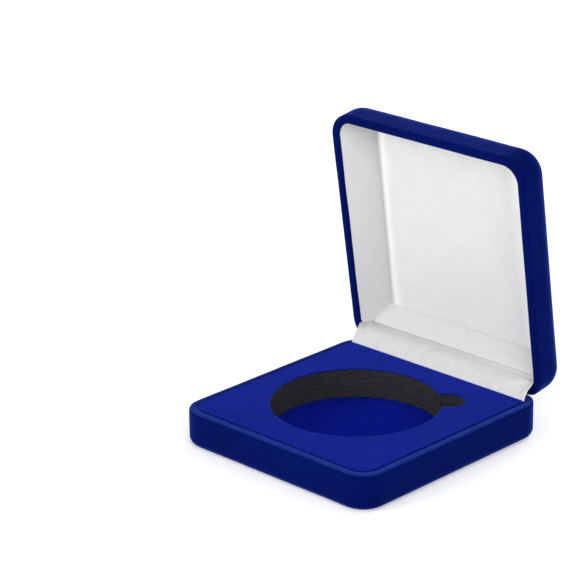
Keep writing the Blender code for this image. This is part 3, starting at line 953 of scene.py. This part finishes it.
def make_side_lining(word, sign):
    """A leaning strip from the front corner's mitre to the gusset's groove."""
    corner_rim = [lid_point(sign * x, y, STRIP_START) for x, y in front_corner(0, 9)]
    rear_y = GROOVE_Y + GROOVE_HEIGHT / 2
    rear_end = lid_point(sign * (HALF_X - WALL), rear_y, STRIP_START)
    rim = np.vstack([corner_rim, between(corner_rim[-1], rear_end, 90)[1:]])
    share = (rim[:, 1] - rim[0, 1]) / (rim[-1, 1] - rim[0, 1])
    front = crease_point(sign * CREASE_X_FRONT, CREASE_Y_FRONT)
    rear = crease_point(sign * CREASE_X_REAR, CREASE_Y_REAR)
    crease = front * (1 - share[:, None]) + rear * share[:, None]
    make_strip("lining_" + word, rim, crease, "lid_lining_" + word, 31.0 + sign)


def make_front_lining():
    """The strip along the lid's front wall, between the two mitres."""
    corner_rim = [lid_point(x, y, STRIP_START) for x, y in front_corner(90, 7)]
    mirrored = [(-x, y, z) for x, y, z in corner_rim[::-1]]
    rim = np.vstack([corner_rim, between(corner_rim[-1], mirrored[0], 90)[1:-1], mirrored])
    share = (rim[:, 0] - rim[0, 0]) / (rim[-1, 0] - rim[0, 0])
    right = crease_point(CREASE_X_FRONT, CREASE_Y_FRONT)
    left = right * (-1, 1, 1)
    crease = right * (1 - share[:, None]) + left * share[:, None]
    make_strip("lining_front", rim, crease, "lid_lining_front", 37.0)


def make_rear_lining():
    """The low strip from the gusset's groove to the pad."""
    groove = lid_point(GROOVE_X + 1.0 * MM, GROOVE_Y, GROOVE_HEIGHT)
    foot = between(groove, np.multiply(groove, (-1, 1, 1)), 110)
    pad_edge = lid_point(CREASE_X_REAR + 0.5 * MM, CREASE_Y_REAR - 0.3 * MM, PAD_DEPTH + 0.5 * MM)
    top = between(pad_edge, np.multiply(pad_edge, (-1, 1, 1)), 110)
    # painted shade: the whole rear strip is greyed evenly
    make_strip("lining_rear", foot, top, "lid_lining_rear", 41.0, 0.04 * MM, (0.2, 0, 0))


# Gusset

def opened(point):
    """Where a point of the closed lid is when the lid stands open."""
    return np.array(LID_OPEN @ Vector(point))


def gusset_lines(count):
    """The gusset's foot on the base and its upper edge along the lid's groove, left to right."""
    ear = 0.06
    share = np.linspace(0, 1, count)
    share = 0.5 - 0.5 * np.cos(math.pi * share)
    rim = opened(lid_point(HALF_X - WALL - 0.1 * MM, EAR_Y, 0.35 * MM))
    groove = opened(lid_point(GROOVE_X, GROOVE_Y + 0.3 * MM, GROOVE_HEIGHT + 0.75 * MM))
    foot = []
    top = []
    for s in share:
        x = (2 * s - 1) * FOOT_X
        end = max(0.0, abs(2 * s - 1) - 0.93) / 0.07
        out = WELL_REAR + 0.3 * MM - 0.3 * MM * end
        up = face_high.z + 0.05 * MM + 0.05 * MM * end
        foot.append((x, out, up))
        sign = 1 if s > 0.5 else -1
        within = min(s, 1 - s)
        if within < ear:
            point = rim + (groove - rim) * within / ear
            top.append((sign * point[0], point[1], point[2]))
        else:
            across = (s - ear) / (1 - 2 * ear)
            top.append(((2 * across - 1) * groove[0], groove[1], groove[2]))
    return np.array(foot), np.array(top)


def gusset_belly(t):
    """How far the gusset stands out at a share t of its width: out at first, then in."""
    if t < HOLLOW:
        return 0.9 * MM * math.sin(math.pi * t / HOLLOW) ** 1.3
    return -0.55 * MM * math.sin(math.pi * (t - HOLLOW) / (1 - HOLLOW))


def gusset_fold(x, t):
    """Small folds, deeper toward the right."""
    right = max(0.0, x / (44 * MM)) ** 3
    fold = wobble((x, t * 9 * MM, 0), 6 * MM, 51.0) * (0.1 + 0.3 * right) * MM
    fold += wobble((x * 0.35, t * 9 * MM, 0), 3.5 * MM, 57.0) * (0.12 + 0.2 * right) * MM
    return fold


def tuck_in(point, k):
    """Moves a point of the tucked rows down behind the insert, or inward at the foot's ends."""
    x = point[0]
    under = min(1.0, max(0.0, (abs(x) - TUCK_X) / (FOOT_X - TUCK_X)))
    point[2] += k * MM * (TUCK_STEP * (1 - under) + 0.03 * under)
    point[1] += 0.15 * MM * (1 - under)
    point[0] += math.copysign(0.25 * MM, x) * k * under


def gusset_row(foot, top, k):
    """One row of the gusset's points, counted from its foot; the tucked rows are below 0."""
    t = max(0, k) / GUSSET_ROWS
    row = []
    for n in range(len(foot)):
        point = foot[n] + (top[n] - foot[n]) * t
        free = min(1.0, 12 * min(n, len(foot) - 1 - n) / len(foot))
        bulge = gusset_belly(t) + gusset_fold(point[0], t) * math.sin(math.pi * t)
        point = point + GUSSET_OUT * bulge * (0.3 + 0.7 * free)
        if k < 0:
            tuck_in(point, k)
        row.append(point)
    return row


def gusset_held(wide, deep):
    """The points that the simulation holds: the tucked rows, the upper edge and both ends."""
    first_free = TUCK_ROWS + 1
    held = [*range(first_free * wide), *range(wide * (deep - 1), wide * deep)]
    ends = [*range(HELD_END), *range(wide - HELD_END, wide)]
    return held + [k * wide + n for k in range(first_free, deep - 1) for n in ends]


def make_gusset():
    """The satin strip over the hinge, tucked behind the insert and into the lid's groove."""
    foot, top = gusset_lines(170)
    width = np.linalg.norm(top - foot, axis=1).mean()
    rows = []
    cloth = []
    painted_shade = []
    for k in range(-TUCK_ROWS, GUSSET_ROWS + 1):
        row = gusset_row(foot, top, k)
        # painted shade: a grey band under the groove, stronger toward the left end, and a little
        # grey all over
        shade = math.exp(-(((1 - max(0, k) / GUSSET_ROWS) / 0.25) ** 2))
        rows.append(row)
        cloth.append([(p[0], width * k / GUSSET_ROWS) for p in row])
        painted_shade += [0.1 + shade * (0.5 - 0.35 * p[0] / FOOT_X) for p in row]
    made = lattice("gusset", rows, cloth=cloth)
    set_attribute(made, "painted_shade", painted_shade)
    finish_mesh(made, outward=(0, -0.6, 0.8))
    simulate(made, gusset_held(len(foot), len(rows)), 0.5, 0.02, 0.5 * MM)
    thicken(made, 0.3 * MM, even=False)
    bake(made)
    wear(made, ribbon_satin)
    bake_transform(made)
    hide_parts("hinge_gusset")


# Finish on the CAD nodes that show

def dress_frame():
    """Gives the CAD nodes that stay in view their materials."""
    looks = {
        "base_shell": black_plastic,
        "lid_shell": black_plastic,
        "lid_backing_card": grey_card,
        "base_hinge_leaf": plated_steel,
        "lid_hinge_leaf": plated_steel,
        "hinge_pin": plated_steel,
        "hinge_spring": plated_steel,
        "base_rivet_left": plated_steel,
        "base_rivet_right": plated_steel,
        "lid_rivet_left": plated_steel,
        "lid_rivet_right": plated_steel,
    }
    for node, material in looks.items():
        wear(frame["nodes"][node], material)


# Studio

def aim(thing, target):
    """Turns a light's -Z axis toward the target."""
    way = Vector(target) - thing.location
    thing.rotation_mode = "QUATERNION"
    thing.rotation_quaternion = way.to_track_quat("-Z", "Y")


def add_light(name, place, target, size, power):
    lamp = bpy.data.lights.new(name, "AREA")
    lamp.shape = "DISK"
    lamp.size = size
    lamp.energy = power
    light = bpy.data.objects.new(name, lamp)
    bpy.context.scene.collection.objects.link(light)
    light.location = place
    aim(light, target)


def make_floor():
    """A matt white sweep, with a faint cloudiness of its own."""
    side = 1.5
    below = -0.05 * MM
    steps = np.linspace(-side, side, 9)
    rows = [[(x, y, below) for x in steps] for y in steps]
    floor = lattice("floor", rows)
    n = Nodes("studio_floor")
    cloud = n.noise(n.place(), 0.2, 3.0, 0.5)
    n.set(Base_Color=n.mix(cloud, (0.93, 0.93, 0.93), (0.97, 0.97, 0.97)), Roughness=0.9)
    n.set(Specular_IOR_Level=0.1, Emission_Color=(1, 1, 1, 1), Emission_Strength=0.18)
    wear(floor, n.material)


def make_camera():
    """A long lens from the front right, a little above, as in the catalogue view."""
    azimuth = math.radians(44.5661)
    elevation = math.radians(20.7332)
    roll = math.radians(-0.7329)
    distance = 10.085  # in case widths, as the two shifts are
    shift_x = -0.2906
    shift_y = 0.5912
    width = 2 * HALF_X
    back = Vector(
        (
            math.sin(azimuth) * math.cos(elevation),
            -math.cos(azimuth) * math.cos(elevation),
            math.sin(elevation),
        )
    )
    right = (-back).cross(Vector((0, 0, 1))).normalized()
    up = right.cross(-back)
    x = right * math.cos(roll) + up * math.sin(roll)
    y = up * math.cos(roll) - right * math.sin(roll)
    data = bpy.data.cameras.new("camera")
    data.lens = 159.6
    data.sensor_width = 36
    camera = bpy.data.objects.new("camera", data)
    bpy.context.scene.collection.objects.link(camera)
    turn = Matrix((x, y, back)).transposed().to_4x4()
    place = (back * distance + x * shift_x + y * shift_y) * width
    camera.matrix_world = Matrix.Translation(place) @ turn
    bpy.context.scene.camera = camera


def make_studio():
    world = bpy.data.worlds.new("studio")
    bpy.context.scene.world = world
    world.use_nodes = True
    backdrop = world.node_tree.nodes["Background"]
    backdrop.inputs["Color"].default_value = (1, 1, 1, 1)
    backdrop.inputs["Strength"].default_value = 0.62
    centre = (0, 0, 0.04)
    add_light("key", (-0.6, -1.2, 0.5), centre, 0.8, 8.8)
    add_light("fill", (1.05, -0.7, 0.75), centre, 0.8, 10.5)
    add_light("back", (0, 1.2, 0.9), centre, 0.8, 7)
    bpy.context.scene.view_settings.view_transform = "Standard"


make_camera()
make_base_cover()
make_lid_cover()
make_insert_foam()
make_insert_face()
make_insert_floor()
make_pad()
make_side_lining("left", -1)
make_side_lining("right", 1)
make_front_lining()
make_rear_lining()
make_gusset()
dress_frame()
make_floor()
make_studio()
